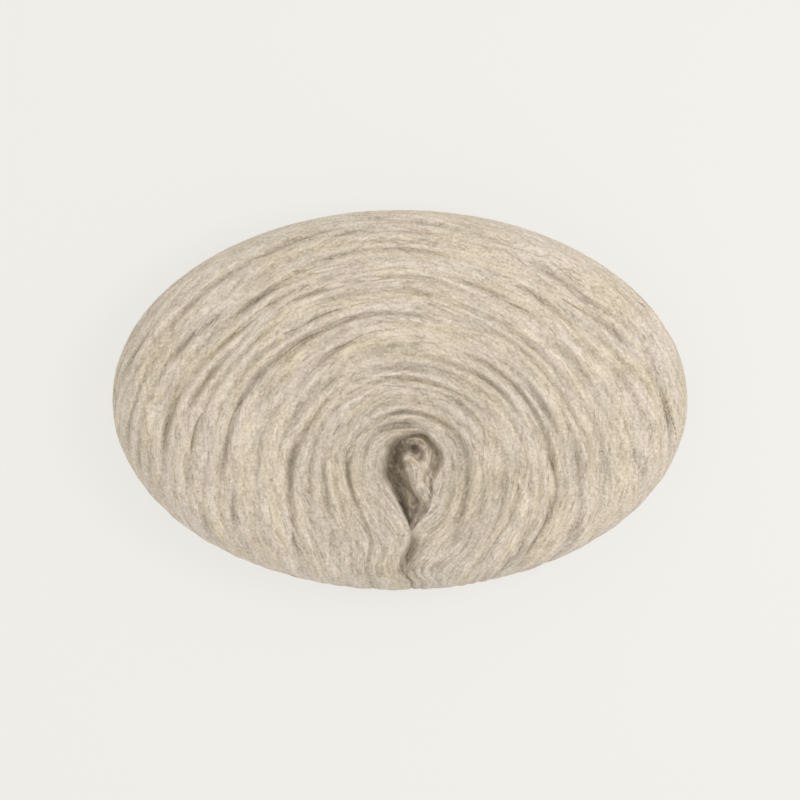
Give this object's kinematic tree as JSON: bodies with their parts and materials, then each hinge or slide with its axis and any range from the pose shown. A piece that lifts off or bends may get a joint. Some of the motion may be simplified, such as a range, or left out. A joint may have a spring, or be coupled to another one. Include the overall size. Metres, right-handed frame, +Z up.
{
  "type": "unspun wool yarn",
  "caption": "Oval plate of unspun wool yarn: soft strands wound in rings round a collapsed eye, the near edge turned under with a cleft, lying flat as knitting or felting supply.",
  "frame": {"origin": "on the underside, below the middle of the plate's outline", "axes": "+X along the plate's long side, +Y away from the cleft, +Z up out of the wound face"},
  "size_m": [0.229, 0.1516, 0.0421],
  "materials": {
    "wool": "matt unspun wool in combed locks, heathered from cream to warm taupe and grey"
  },
  "bodies": {
    "root": {"wool_plate": "wool"}
  },
  "joints": []
}
